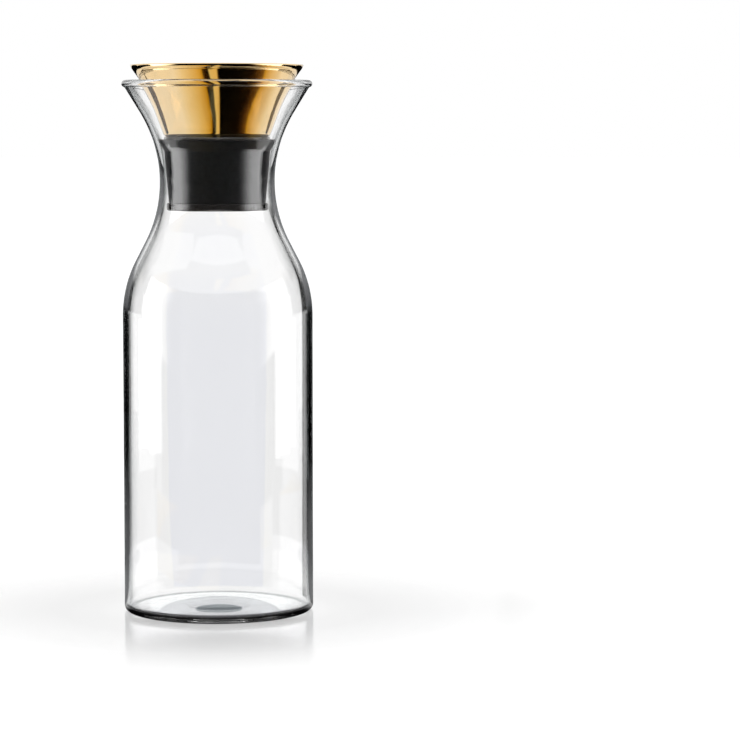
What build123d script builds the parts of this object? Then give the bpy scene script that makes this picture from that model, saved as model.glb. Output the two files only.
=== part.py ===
from build123d import *
from math import cos, radians, sin, sqrt, tan
import os

# A fridge carafe: a blown glass bottle with a pinched neck and a flared mouth, and a
# stopper that lifts out of it. The stopper is a metal funnel clamped to a plastic tube,
# with a silicone sleeve whose lip seals against the flare. A weighted flap in the
# funnel's floor lies shut while the carafe stands and tips open as it is tilted to pour.
# Millimetres. The table is z = 0, the carafe's axis is Z and its front faces -Y.

# Glass carafe, with slopes in degrees from upright
lip_height = 264.0
body_radius = 47.5
glass_wall = 2.1
foot_round = 3.0
inner_foot_round = 2.5
floor_thickness = 2.2
foot_width = 8.5
punt_rise = 0.6
mark_radius = 15.9
mark_depth = 0.3
shoulder_round = 60.0
shoulder_slope = 27.2
throat_radius = 28.7
throat_below_lip = 48.5
lower_sweep = 65.3
upper_sweep = 66.5
flare_slope = 31.6
lip_round = 1.7
lip_neck_round = 1.2

# Stopper core, the plastic tube with its collar
seal_below_lip = 27.65
tube_wall = 3.4
collar_overhang = 4.3
collar_thickness = 1.65
collar_taper = 0.5
collar_round = 0.3

# Silicone sleeve
sleeve_length = 31.75
sleeve_top_wall = 3.95
sleeve_bottom_wall = 1.7
sleeve_clearance = 0.1
seal_lip_drop = 5.55
seal_tip_thickness = 0.5
seal_clearance = 0.25

# Retaining ring under the sleeve
neck_clearance = 1.35
ring_wall = 2.85
ring_height = 3.6
ring_web = 0.8
ring_web_inset = 0.5
ring_round = 1.0
ring_edge_round = 0.3
snap_depth = 0.4
snap_height = 0.8
snap_clearance = 0.05

# Pouring funnel, one thickness of metal
funnel_wall = 0.7
funnel_foot_inset = 0.45
funnel_floor_inset = 1.0
funnel_corner = 2.4
cone_slope = 21.8
rim_slope = 39.0
rim_sweep = 64.0
funnel_height = 35.5
rim_edge_round = 0.25

# Clamp ring, the valve seat that holds the funnel's floor down on the core
gasket_thickness = 0.5
gasket_width = 2.5
clamp_inset = 3.05
clamp_thickness = 1.5
clamp_edge_round = 0.4
seat_width = 2.7
skirt_thickness = 1.75
skirt_length = 7.7
skirt_snap_rise = 1.0
ear_thickness = 2.2
ear_round = 2.2
hinge_overhang = 5.1

# Hinge pin and the flap's knuckle
pin_radius = 1.0
pin_press = 0.01
pin_running = 0.05
pin_chamfer = 0.2
knuckle_radius = 2.1
knuckle_width = 7.4
knuckle_clearance = 0.3

# Flap
plate_overlap = 2.1
plate_thickness = 1.8
flap_seal_inset = 0.3
flap_seal_width = 1.2
flap_seal_depth = 0.8
flap_seal_groove = 0.5
flap_seal_round = 0.25
flap_seal_clearance = 0.2
heel_length = 3.6
heel_thickness = 1.4
heel_angle = 31.0
cover_thickness = 0.5
cover_crown = 0.6
cover_skirt = 1.5
cover_edge_round = 0.45

# Counterweight on the flap's leg
leg_inset = 5.0
leg_radius = 2.2
leg_length = 17.5
weight_radius = 5.0
weight_length = 14.0
weight_socket = 5.0
socket_clearance = 0.05
weight_round = 0.8
screw_radius = 1.0
screw_clearance = 0.1
screw_bite = 6.0
screw_head_radius = 1.9
screw_slot_width = 0.5
screw_slot_depth = 0.5

# Cuts run past the material by this much
overrun = 1.0

# Places that follow from the sizes above
punt_radius = body_radius - foot_round - foot_width
throat_height = lip_height - throat_below_lip
slope = radians(shoulder_slope)
flare = radians(flare_slope)
shoulder_end_radius = body_radius - shoulder_round * (1 - cos(slope))
sweep_end_radius = throat_radius + lower_sweep * (1 - cos(slope))
shoulder_line_drop = (shoulder_end_radius - sweep_end_radius) / tan(slope)
shoulder_height = throat_height - (lower_sweep + shoulder_round) * sin(slope) - shoulder_line_drop
middle_sweep = upper_sweep + glass_wall / 2
flare_run = (throat_below_lip - middle_sweep * sin(flare)) / cos(flare)
lip_radius = throat_radius + upper_sweep - middle_sweep * cos(flare) + flare_run * sin(flare)

ring_radius = throat_radius - glass_wall - neck_clearance
tube_radius = ring_radius - ring_wall
bore_radius = tube_radius - tube_wall
ring_web_bore = bore_radius + ring_web_inset
sleeve_top_radius = tube_radius + sleeve_top_wall
sleeve_bottom_radius = tube_radius + sleeve_bottom_wall
collar_radius = tube_radius + collar_overhang
seal_height = lip_height - seal_below_lip
core_top = seal_height + collar_thickness
sleeve_bottom = seal_height - sleeve_length
ring_bottom = sleeve_bottom - ring_height
tube_bottom = ring_bottom + ring_web
ring_snap_height = (tube_bottom + sleeve_bottom) / 2

funnel_foot_radius = collar_radius - funnel_foot_inset
funnel_floor_bore = bore_radius + funnel_floor_inset
cone = radians(cone_slope)
rim = radians(rim_slope)
rim_outer_height = core_top + funnel_height - funnel_wall * sin(rim)
cone_top = rim_outer_height - rim_sweep * (sin(rim) - sin(cone))
cone_top_radius = funnel_foot_radius + (cone_top - core_top) * tan(cone)

gasket_bottom = core_top + funnel_wall
clamp_bottom = gasket_bottom + gasket_thickness
seat_height = clamp_bottom + clamp_thickness
clamp_radius = funnel_foot_radius - clamp_inset
skirt_radius = bore_radius - snap_clearance
skirt_inner = skirt_radius - skirt_thickness
skirt_snap_height = clamp_bottom - skirt_length + skirt_snap_rise
valve_radius = skirt_inner - seat_width
hinge_reach = valve_radius + hinge_overhang
hinge_height = seat_height + knuckle_clearance + knuckle_radius
ear_middle = knuckle_width / 2 + knuckle_clearance + ear_thickness / 2
pin_length = 2 * ear_middle + ear_thickness

plate_radius = valve_radius + plate_overlap
flap_seal_inner = valve_radius + flap_seal_inset
leg_reach = valve_radius - leg_inset
plate_bottom = seat_height + flap_seal_clearance + flap_seal_depth
plate_top = plate_bottom + plate_thickness
leg_end = plate_bottom - leg_length
weight_top = leg_end + weight_socket
weight_bottom = weight_top - weight_length
screw_head_height = screw_head_radius - screw_radius


def glass_side(inset):
    """Draws one face of the glass from the top of the straight body to the lip.

    The face lies inset from the outside. The arcs keep their centres, so the wall keeps
    its thickness. Returns the lowest and the highest point.
    """
    shoulder_centre = (body_radius - shoulder_round, shoulder_height)
    shoulder = CenterArc(shoulder_centre, shoulder_round - inset, 0, shoulder_slope)
    lower_centre = (throat_radius + lower_sweep, throat_height)
    lower = CenterArc(lower_centre, lower_sweep + inset, 180, shoulder_slope)
    Line(shoulder @ 1, lower @ 1)
    upper_centre = (throat_radius + upper_sweep, throat_height)
    upper = CenterArc(upper_centre, upper_sweep + inset, 180 - flare_slope, flare_slope)
    mouth = Line(upper @ 0, upper @ 0 + Vector(sin(flare), cos(flare)) * flare_run)
    return shoulder @ 0, mouth @ 1


def glass_bore(height):
    """Inner radius of the flared neck at a height above the throat."""
    reach = upper_sweep + glass_wall
    return throat_radius + upper_sweep - sqrt(reach**2 - (height - throat_height) ** 2)


def band(inner, outer, bottom, top, mode=Mode.ADD):
    """Adds a rectangle to a section: inner to outer radius, bottom to top height."""
    with Locations(((inner + outer) / 2, (bottom + top) / 2)):
        Rectangle(outer - inner, top - bottom, mode=mode)


def snap_bead(radius, height, depth):
    """Adds half a round bead to a section, standing out of the face at the radius."""
    with Locations((radius, height)):
        Ellipse(depth, snap_height / 2)


# Glass carafe: one blown wall, with a bead at the lip and a shallow punt under the floor
with BuildPart() as glass_vessel:
    with BuildSketch(Plane.XZ) as glass_section:
        with BuildLine():
            outer_foot, outer_lip = glass_side(0)
            foot_centre = (body_radius - foot_round, foot_round)
            foot = CenterArc(foot_centre, foot_round, -90, 90)
            Line(foot @ 1, outer_foot)
            Line(foot @ 0, (punt_radius, 0))
            TangentArc((0, punt_rise), (punt_radius, 0), tangent=(1, 0))
            Line((0, punt_rise), (0, floor_thickness + punt_rise))
            inner_foot, inner_lip = glass_side(glass_wall)
            corner_radius = body_radius - glass_wall - inner_foot_round
            corner_centre = (corner_radius, floor_thickness + inner_foot_round)
            corner = CenterArc(corner_centre, inner_foot_round, -90, 90)
            TangentArc((0, floor_thickness + punt_rise), corner @ 0, tangent=(1, 0))
            Line(corner @ 1, inner_foot)
            Line(outer_lip, inner_lip)
        make_face()
        band(0, mark_radius, 0, punt_rise + mark_depth, mode=Mode.SUBTRACT)
        with Locations((lip_radius, lip_height)):
            Circle(lip_round)
        neck_vertices = [
            corner_point
            for corner_point in glass_section.vertices()
            if (Vector(corner_point) - Vector(lip_radius, lip_height)).length < 2 * lip_round
            and corner_point.Y < lip_height
        ]
        fillet(neck_vertices, radius=lip_neck_round)
    revolve(axis=Axis.Z)
glass_vessel.part.label = "glass_vessel"
export_step(glass_vessel.part, "parts/glass_vessel.step")

# Stopper core: a tube with a collar that the sleeve hangs under and the funnel stands on
with BuildPart() as stopper_core:
    with BuildSketch(Plane.XZ) as core_section:
        band(bore_radius, tube_radius, tube_bottom, core_top)
        with BuildLine():
            Polyline(
                (bore_radius, seal_height),
                (collar_radius, seal_height),
                (collar_radius - collar_taper, core_top),
                (bore_radius, core_top),
                close=True,
            )
        make_face()
        fillet(core_section.vertices().sort_by(Axis.X)[-2:], radius=collar_round)
        with Locations((tube_radius, ring_snap_height)):
            Ellipse(snap_depth, snap_height / 2, mode=Mode.SUBTRACT)
        with Locations((bore_radius, skirt_snap_height)):
            Ellipse(snap_depth, snap_height / 2, mode=Mode.SUBTRACT)
    revolve(axis=Axis.Z)
stopper_core.part.label = "stopper_core"
export_step(stopper_core.part, "parts/stopper_core.step")

# Seal sleeve: moulded silicone, tapered, with a wedge lip whose tip meets the glass
seal_tip_radius = glass_bore(seal_height - seal_tip_thickness) - seal_clearance
with BuildPart() as seal_sleeve:
    with BuildSketch(Plane.XZ):
        with BuildLine():
            Polyline(
                (tube_radius + sleeve_clearance, sleeve_bottom),
                (sleeve_bottom_radius, sleeve_bottom),
                (sleeve_top_radius, seal_height - seal_lip_drop),
                (seal_tip_radius, seal_height - seal_tip_thickness),
                (seal_tip_radius, seal_height),
                (tube_radius + sleeve_clearance, seal_height),
                close=True,
            )
        make_face()
    revolve(axis=Axis.Z)
seal_sleeve.part.label = "seal_sleeve"
export_step(seal_sleeve.part, "parts/seal_sleeve.step")

# Base ring: snaps on the foot of the tube and keeps the sleeve on it
with BuildPart() as base_ring:
    with BuildSketch(Plane.XZ) as ring_section:
        band(ring_web_bore, ring_radius, ring_bottom, tube_bottom)
        band(tube_radius + snap_clearance, ring_radius, tube_bottom, sleeve_bottom)
        rim_corners = ring_section.vertices().group_by(Axis.X)[-1].sort_by(Axis.Y)
        fillet(rim_corners[0], radius=ring_round)
        fillet(ring_section.vertices().sort_by(Axis.Y)[-1], radius=ring_edge_round)
        snap_bead(tube_radius + snap_clearance, ring_snap_height, snap_depth - snap_clearance)
    revolve(axis=Axis.Z)
base_ring.part.label = "base_ring"
export_step(base_ring.part, "parts/base_ring.step")

# Pouring funnel: a spun cone, turned in at the floor and flared out at the rim
with BuildPart() as pouring_funnel:
    with BuildSketch(Plane.XZ) as funnel_section:
        with BuildLine():
            cone_wall = FilletPolyline(
                (funnel_floor_bore, core_top),
                (funnel_foot_radius, core_top),
                (cone_top_radius, cone_top),
                radius=funnel_corner,
            )
            JernArc(cone_wall @ 1, cone_wall % 1, rim_sweep, cone_slope - rim_slope)
            offset(amount=funnel_wall, side=Side.LEFT, closed=True)
        make_face()
        fillet(funnel_section.vertices().sort_by(Axis.Y)[-2:], radius=rim_edge_round)
    revolve(axis=Axis.Z)
pouring_funnel.part.label = "pouring_funnel"
export_step(pouring_funnel.part, "parts/pouring_funnel.step")

# Funnel gasket: a flat ring between the funnel's floor and the clamp ring
with BuildPart() as funnel_gasket:
    with BuildSketch(Plane.XY.offset(gasket_bottom)):
        Circle(funnel_floor_bore + gasket_width)
        Circle(funnel_floor_bore, mode=Mode.SUBTRACT)
    extrude(amount=gasket_thickness)
funnel_gasket.part.label = "funnel_gasket"
export_step(funnel_gasket.part, "parts/funnel_gasket.step")

# Clamp ring: the valve seat, with a skirt that snaps into the bore and two hinge ears
with BuildPart() as clamp_ring:
    with BuildSketch(Plane.XZ) as clamp_section:
        band(valve_radius, clamp_radius, clamp_bottom, seat_height)
        fillet(clamp_section.vertices().sort_by(Axis.X)[-2:], radius=clamp_edge_round)
        band(skirt_inner, skirt_radius, clamp_bottom - skirt_length, clamp_bottom)
        snap_bead(skirt_radius, skirt_snap_height, snap_depth - snap_clearance)
    revolve(axis=Axis.Z)
    for side in (-1, 1):
        with BuildSketch(Plane.YZ.offset(side * ear_middle)):
            ear_foot = (clamp_bottom + seat_height) / 2
            band(hinge_reach - ear_round, hinge_reach + ear_round, ear_foot, hinge_height)
            with Locations((hinge_reach, hinge_height)):
                Circle(ear_round)
                Circle(pin_radius + pin_press, mode=Mode.SUBTRACT)
        extrude(amount=ear_thickness / 2, both=True)
clamp_ring.part.label = "clamp_ring"
export_step(clamp_ring.part, "parts/clamp_ring.step")

# Hinge pin: held in the ears, a running fit in the flap's knuckle
with BuildPart() as hinge_pin:
    with BuildSketch(Plane.YZ.offset(-pin_length / 2)):
        with Locations((hinge_reach, hinge_height)):
            Circle(pin_radius)
    extrude(amount=pin_length)
    chamfer(hinge_pin.edges().filter_by(GeomType.CIRCLE), length=pin_chamfer)
hinge_pin.part.label = "hinge_pin"
export_step(hinge_pin.part, "parts/hinge_pin.step")

# Flap plate: the disc, its knuckle and heel stop, and the leg that carries the weight
with BuildPart() as flap_plate:
    with BuildSketch(Plane.XY.offset(plate_bottom)):
        Circle(plate_radius)
    extrude(amount=plate_thickness)
    with BuildSketch(Plane.YZ):
        band(plate_radius - knuckle_radius, hinge_reach, plate_bottom, plate_top)
        with Locations((hinge_reach, hinge_height)):
            Circle(knuckle_radius)
        with Locations(Location((hinge_reach, hinge_height, 0), (0, 0, heel_angle))):
            Rectangle(heel_length, heel_thickness, align=(Align.MIN, Align.CENTER))
    extrude(amount=knuckle_width / 2, both=True)
    with BuildSketch(Plane.YZ):
        with Locations((hinge_reach, hinge_height)):
            Circle(pin_radius + pin_running)
    extrude(amount=knuckle_width / 2 + overrun, both=True, mode=Mode.SUBTRACT)
    with BuildSketch(Plane.XY.offset(plate_bottom)):
        Circle(flap_seal_inner + flap_seal_width)
        Circle(flap_seal_inner, mode=Mode.SUBTRACT)
    extrude(amount=flap_seal_groove, mode=Mode.SUBTRACT)
    with BuildSketch(Plane.XY.offset(leg_end)):
        with Locations((0, leg_reach)):
            Circle(leg_radius)
    extrude(amount=leg_length)
    with BuildSketch(Plane.XY.offset(leg_end)):
        with Locations((0, leg_reach)):
            Circle(screw_radius)
    extrude(amount=screw_bite, mode=Mode.SUBTRACT)
flap_plate.part.label = "flap_plate"
export_step(flap_plate.part, "parts/flap_plate.step")

# Flap seal: a silicone ring in the plate's groove, which closes on the seat
with BuildPart() as flap_gasket:
    with BuildSketch(Plane.XY.offset(plate_bottom - flap_seal_depth)):
        Circle(flap_seal_inner + flap_seal_width)
        Circle(flap_seal_inner, mode=Mode.SUBTRACT)
    extrude(amount=flap_seal_depth + flap_seal_groove)
    fillet(flap_gasket.edges().group_by(Axis.Z)[0], radius=flap_seal_round)
flap_gasket.part.label = "flap_gasket"
export_step(flap_gasket.part, "parts/flap_gasket.step")

# Flap cover: a crowned metal cap pressed over the plate, notched behind for the knuckle
cover_radius = plate_radius + cover_thickness
with BuildPart() as flap_cover:
    with BuildSketch(Plane.XZ) as cover_section:
        with BuildLine():
            cap_edge = (cover_radius, plate_top + cover_thickness)
            TangentArc((0, plate_top + cover_thickness + cover_crown), cap_edge, tangent=(1, 0))
            Polyline(
                cap_edge,
                (cover_radius, plate_top - cover_skirt),
                (plate_radius, plate_top - cover_skirt),
                (plate_radius, plate_top),
            )
            TangentArc((0, plate_top + cover_crown), (plate_radius, plate_top), tangent=(1, 0))
            Line((0, plate_top + cover_crown), (0, plate_top + cover_crown + cover_thickness))
        make_face()
        outer_corner = cover_section.vertices().group_by(Axis.X)[-1].sort_by(Axis.Y)[-1]
        fillet(outer_corner, radius=cover_edge_round)
    revolve(axis=Axis.Z)
    with BuildSketch(Plane.XY.offset(plate_top)):
        notch_width = knuckle_width + 2 * knuckle_clearance
        with Locations((0, plate_radius)):
            Rectangle(notch_width, 2 * knuckle_radius)
    extrude(amount=-cover_skirt - overrun, mode=Mode.SUBTRACT)
flap_cover.part.label = "flap_cover"
export_step(flap_cover.part, "parts/flap_cover.step")

# Counterweight: a steel slug socketed on the leg and screwed from below
with BuildPart() as counterweight:
    with BuildSketch(Plane.XY.offset(weight_bottom)):
        with Locations((0, leg_reach)):
            Circle(weight_radius)
    extrude(amount=weight_length)
    fillet(counterweight.edges().filter_by(GeomType.CIRCLE), radius=weight_round)
    with BuildSketch(Plane.XY.offset(leg_end)):
        with Locations((0, leg_reach)):
            Circle(leg_radius + socket_clearance)
    extrude(amount=weight_socket, mode=Mode.SUBTRACT)
    with BuildSketch(Plane.XY.offset(weight_bottom)):
        with Locations((0, leg_reach)):
            Circle(screw_radius + screw_clearance)
    extrude(amount=weight_length, mode=Mode.SUBTRACT)
    countersink = counterweight.edges().group_by(Axis.Z)[0].sort_by(SortBy.RADIUS)[0]
    chamfer(countersink, length=screw_head_height)
counterweight.part.label = "counterweight"
export_step(counterweight.part, "parts/counterweight.step")

# Counterweight screw: countersunk, slotted, threaded into the leg
with BuildPart() as counterweight_screw:
    with BuildSketch(Plane.XY.offset(weight_bottom)):
        with Locations((0, leg_reach)):
            Circle(screw_head_radius)
    extrude(amount=screw_head_height, taper=45)
    with BuildSketch(Plane.XY.offset(weight_bottom)):
        with Locations((0, leg_reach)):
            Circle(screw_radius)
    extrude(amount=leg_end - weight_bottom + screw_bite)
    with BuildSketch(Plane.XY.offset(weight_bottom)):
        with Locations((0, leg_reach)):
            Rectangle(2 * screw_head_radius + overrun, screw_slot_width)
    extrude(amount=screw_slot_depth, mode=Mode.SUBTRACT)
counterweight_screw.part.label = "counterweight_screw"
export_step(counterweight_screw.part, "parts/counterweight_screw.step")
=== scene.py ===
# %% [markdown]
# # A glass fridge carafe with a pouring stopper
# The carafe is a thin glass bottle with a pinched neck and a flared mouth. Its stopper
# lifts out: a gold-coated metal funnel stands on a plastic tube, and a silicone sleeve on
# that tube seals against the glass. A weighted flap in the funnel's floor opens to pour.
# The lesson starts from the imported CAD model, which is the fixed frame: it says where
# each piece is. Blender adds what CAD can't show, the glass, the metal and the light.

# %% Load the frame
import math

import bpy
import numpy as np
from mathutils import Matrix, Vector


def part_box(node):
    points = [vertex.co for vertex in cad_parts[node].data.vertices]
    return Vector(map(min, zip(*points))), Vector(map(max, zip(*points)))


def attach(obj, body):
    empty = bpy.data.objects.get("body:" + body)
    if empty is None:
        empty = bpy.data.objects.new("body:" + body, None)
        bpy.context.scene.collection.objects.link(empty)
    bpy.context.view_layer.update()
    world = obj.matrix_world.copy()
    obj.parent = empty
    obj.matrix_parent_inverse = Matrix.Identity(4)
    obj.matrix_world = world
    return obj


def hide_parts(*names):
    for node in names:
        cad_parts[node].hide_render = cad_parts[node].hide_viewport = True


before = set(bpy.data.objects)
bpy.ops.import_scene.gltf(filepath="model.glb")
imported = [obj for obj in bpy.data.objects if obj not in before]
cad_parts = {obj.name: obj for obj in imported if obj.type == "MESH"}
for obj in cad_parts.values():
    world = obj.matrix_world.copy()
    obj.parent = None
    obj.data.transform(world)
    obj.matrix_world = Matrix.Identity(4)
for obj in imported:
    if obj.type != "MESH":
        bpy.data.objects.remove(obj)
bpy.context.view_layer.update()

MM = 0.001

# %% [markdown]
# ## A surface from a profile
# Nearly every piece here was blown, spun, turned or moulded round one axis. So one tool
# makes them all: a profile of radius and height is carried round the axis. The profile
# runs up the outside and down the inside, which makes every face point outwards. Where
# it starts or ends on the axis, one point closes the pole.


# %% Tools for profiles
def arc(centre, radius, start, stop, count=12):
    """Points of an arc: centre plus radius times the cosine and sine of each angle."""
    angle = np.radians(np.linspace(start, stop, count))
    return np.column_stack(
        (centre[0] + radius * np.cos(angle), centre[1] + radius * np.sin(angle))
    )


def distinct(points, closed=False):
    """The points without those that repeat the one before them."""
    points = np.asarray(points, float)
    gap = np.linalg.norm(points - np.roll(points, 1, axis=0), axis=1)
    keep = gap > 1e-5
    if not closed:
        keep[0] = True
    return points[keep]


def rounded(corners, radii, count=7):
    """A closed outline with round corners.

    Each corner's arc touches both sides at its radius over the tangent of half the
    corner's angle, and its points turn evenly about the arc's centre.
    """
    point = np.asarray(corners, float)
    radius = np.asarray(radii, float)[:, None]
    back = np.roll(point, 1, axis=0) - point
    ahead = np.roll(point, -1, axis=0) - point
    back /= np.linalg.norm(back, axis=1, keepdims=True)
    ahead /= np.linalg.norm(ahead, axis=1, keepdims=True)
    half = np.arccos(np.clip((back * ahead).sum(1, keepdims=True), -1, 1)) / 2
    middle = back + ahead
    middle /= np.maximum(np.linalg.norm(middle, axis=1, keepdims=True), 1e-9)
    centre = point + middle * radius / np.sin(half)
    first = point + back * radius / np.tan(half) - centre
    last = point + ahead * radius / np.tan(half) - centre
    turn = (np.pi - 2 * half)[:, :, None]
    step = np.linspace(0, 1, count)[None, :, None]
    mix = np.sin((1 - step) * turn) * first[:, None] + np.sin(step * turn) * last[:, None]
    return distinct((centre[:, None] + mix / np.sin(turn)).reshape(-1, 2), True)


def lathe(name, profile, closed=False, segments=256, sharp=30):
    """A piece turned round the carafe's axis.

    Each profile point is a radius and a height in millimetres. The surface point is
    the radius times the cosine and the sine of the turn, and the height.
    """
    profile = distinct(profile, closed)
    on_axis = profile[:, 0] < 1e-6
    rings = profile[~on_axis]
    turn = np.linspace(0, 2 * np.pi, segments, endpoint=False)
    radius, height = rings[:, :1], rings[:, 1:]
    grid = np.stack(
        (radius * np.cos(turn), radius * np.sin(turn), height + 0 * turn), axis=-1
    )
    tips = np.insert(profile[on_axis], 1, 0.0, axis=1)
    index = np.arange(len(rings) * segments).reshape(len(rings), segments)
    low = index if closed else index[:-1]
    high = np.roll(index, -1, axis=0) if closed else index[1:]
    quads = np.stack((low, np.roll(low, -1, 1), np.roll(high, -1, 1), high), -1)
    faces = quads.reshape(-1, 4).tolist()
    if not closed and on_axis[0]:
        tip = np.full(segments, index.size)
        faces += np.stack((tip, np.roll(index[0], -1), index[0]), -1).tolist()
    if not closed and on_axis[-1]:
        tip = np.full(segments, index.size + len(tips) - 1)
        faces += np.stack((index[-1], np.roll(index[-1], -1), tip), -1).tolist()
    return solid(name, np.vstack((grid.reshape(-1, 3), tips)) * MM, faces, sharp)


def solid(name, points, faces, sharp=30):
    """A mesh object from arrays of points and faces, smooth except at sharp corners."""
    mesh = bpy.data.meshes.new(name)
    mesh.from_pydata(points.tolist(), [], faces)
    mesh.polygons.foreach_set("use_smooth", np.ones(len(mesh.polygons), bool))
    mesh.set_sharp_from_angle(angle=math.radians(sharp))
    piece = bpy.data.objects.new(name, mesh)
    bpy.context.scene.collection.objects.link(piece)
    print(name, len(mesh.vertices), "points", len(mesh.polygons), "faces")
    return piece


# %% [markdown]
# ## Materials
# Each material says what the real one is and how its surface was made. Patterns are sized
# in real millimetres from Object coordinates, which are metres here, so a pattern keeps
# its size on every piece. Colours are written as sRGB hex and turned to linear light once.


# %% Tools for materials
WHITE, BLACK = "#ffffff", "#000000"


def linear(code):
    """An sRGB hex colour as linear light: a power of 2.4, with a straight foot."""
    value = np.array([int(code[i : i + 2], 16) for i in (1, 3, 5)]) / 255
    light = np.where(value <= 0.04045, value / 12.92, ((value + 0.055) / 1.055) ** 2.4)
    return (*light.tolist(), 1.0)


def add(tree, kind, links=None, **settings):
    """Adds a node. A setting goes to the field or the input of its name.

    An underscore stands for a space, and _6 for input number 6. Links say which input
    another node's output goes to.
    """
    item = tree.nodes.new(kind)
    for key, value in settings.items():
        if hasattr(item, key):
            setattr(item, key, value)
        else:
            place = int(key[1:]) if key[1:].isdigit() else key.replace("_", " ")
            item.inputs[place].default_value = value
    for key, socket in (links or {}).items():
        tree.links.new(socket, item.inputs[key])
    return item


def material(name):
    """A new material with empty nodes, and its output."""
    made = bpy.data.materials.new(name)
    made.use_nodes = True
    made.node_tree.nodes.clear()
    return made, made.node_tree, made.node_tree.nodes.new("ShaderNodeOutputMaterial")


def pattern(tree, millimetres, stretch=(1.0, 1.0, 1.0), detail=2.0, roughness=0.5):
    """Noise whose lumps are about so many millimetres wide, drawn out by stretch."""
    place = add(tree, "ShaderNodeTexCoord")
    scale = tuple(1.0 / (millimetres * MM * s) for s in stretch)
    scaled = add(tree, "ShaderNodeMapping", {"Vector": place.outputs["Object"]}, Scale=scale)
    noise = add(
        tree,
        "ShaderNodeTexNoise",
        {"Vector": scaled.outputs["Vector"]},
        Scale=1.0,
        Detail=detail,
        Roughness=roughness,
    )
    return noise.outputs["Fac"]


def between(tree, noise, low, high):
    """Values from low to high where the noise goes from 0.3 to 0.7, or colours so mixed."""
    if not isinstance(low, str):
        span = {"From_Min": 0.3, "From_Max": 0.7, "To_Min": low, "To_Max": high}
        return add(tree, "ShaderNodeMapRange", {"Value": noise}, **span).outputs["Result"]
    even = between(tree, noise, 0.0, 1.0)
    tones = {"_6": linear(low), "_7": linear(high)}
    return add(tree, "ShaderNodeMix", {"Factor": even}, data_type="RGBA", **tones).outputs[2]


# %% [markdown]
# ### Borosilicate glass, blown and fire-polished
# Blown glass has no grain at all. What gives it away is a slow waviness of a few
# hundredths of a millimetre, and that its edges look darker than its middle, because
# there the light runs along inside the wall. That darkening is a painted shade: Layer
# Weight mixes a dark grey-teal into the glass's colour towards its edges.

# %% Blown glass
glass, tree, output = material("borosilicate_glass_blown")
facing = add(tree, "ShaderNodeLayerWeight", Blend=0.5)
edge = add(
    tree,
    "ShaderNodeMapRange",
    {"Value": facing.outputs["Facing"]},
    interpolation_type="SMOOTHSTEP",
    From_Min=0.5,
    From_Max=0.9,
)
# Painted shade: the glass's colour darkens to grey-teal towards its edges.
painted_edge_shade = add(
    tree,
    "ShaderNodeMix",
    {"Factor": edge.outputs["Result"]},
    data_type="RGBA",
    _6=linear("#fefefe"),
    _7=linear("#5d6667"),
)
waves = add(tree, "ShaderNodeBump", {"Height": pattern(tree, 28.0)}, Distance=0.05 * MM)
skin = add(
    tree,
    "ShaderNodeBsdfPrincipled",
    {"Base Color": painted_edge_shade.outputs[2], "Normal": waves.outputs["Normal"]},
    Roughness=0.0,
    IOR=1.47,
    Transmission_Weight=1.0,
)
tree.links.new(skin.outputs["BSDF"], output.inputs["Surface"])

# %% [markdown]
# ### Gold-coated steel, spun and mirror-polished
# The funnel is thin steel, spun on a lathe, polished and coated with a hard gold-coloured
# film. It is a mirror, so its look is mostly what it reflects. Spinning leaves faint lines
# round the axis, about a third of a millimetre apart, and the film varies a little in tone.

# %% Gold-coated steel
gold, tree, output = material("gold_coated_steel_spun")
lines = pattern(tree, 0.35, stretch=(60.0, 60.0, 1.0), detail=3.0)
ridges = add(tree, "ShaderNodeBump", {"Height": lines}, Distance=0.0012 * MM)
skin = add(
    tree,
    "ShaderNodeBsdfPrincipled",
    {
        "Base Color": between(tree, pattern(tree, 14.0), "#f2d29c", "#f5d8a6"),
        "Roughness": between(tree, lines, 0.04, 0.08),
        "Normal": ridges.outputs["Normal"],
    },
    Metallic=1.0,
)
tree.links.new(skin.outputs["BSDF"], output.inputs["Surface"])

# %% [markdown]
# ### ABS plastic, moulded in a polished tool
# The tube, its collar, the ring under the sleeve and the flap are moulded in a dark
# brown-grey ABS. A polished tool gives a gloss with a slight orange peel.

# %% Moulded plastic
plastic, tree, output = material("abs_plastic_gloss_moulded")
peel = add(tree, "ShaderNodeBump", {"Height": pattern(tree, 1.6)}, Distance=0.004 * MM)
skin = add(
    tree,
    "ShaderNodeBsdfPrincipled",
    {
        "Base Color": between(tree, pattern(tree, 6.0), "#32302f", "#373433"),
        "Roughness": between(tree, pattern(tree, 3.0), 0.10, 0.17),
        "Normal": peel.outputs["Normal"],
    },
    IOR=1.53,
)
tree.links.new(skin.outputs["BSDF"], output.inputs["Surface"])

# %% [markdown]
# ### Silicone, moulded in an eroded tool
# The sleeve's tool was spark-eroded, which leaves a satin skin with grains of a few
# tenths of a millimetre. Silicone also picks up a cloudy bloom, so its grey is mottled.
# The real grain is finer than a pixel here, so it is drawn at 0.7 mm.

# %% Moulded silicone
silicone, tree, output = material("silicone_satin_moulded")
grain = add(
    tree,
    "ShaderNodeBump",
    {"Height": pattern(tree, 0.7, detail=3.0, roughness=0.6)},
    Distance=0.02 * MM,
)
bloom = pattern(tree, 2.2, detail=4.0, roughness=0.65)
skin = add(
    tree,
    "ShaderNodeBsdfPrincipled",
    {
        "Base Color": between(tree, bloom, "#19191b", "#28282b"),
        "Roughness": between(tree, bloom, 0.36, 0.5),
        "Normal": grain.outputs["Normal"],
    },
    IOR=1.43,
)
tree.links.new(skin.outputs["BSDF"], output.inputs["Surface"])

# %% [markdown]
# ### Stainless steel, fine-turned
# The flap's weight, its screw and the hinge pin are turned from bar. The tool leaves
# fine rings, drawn here 0.2 mm apart along the axis.

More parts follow.
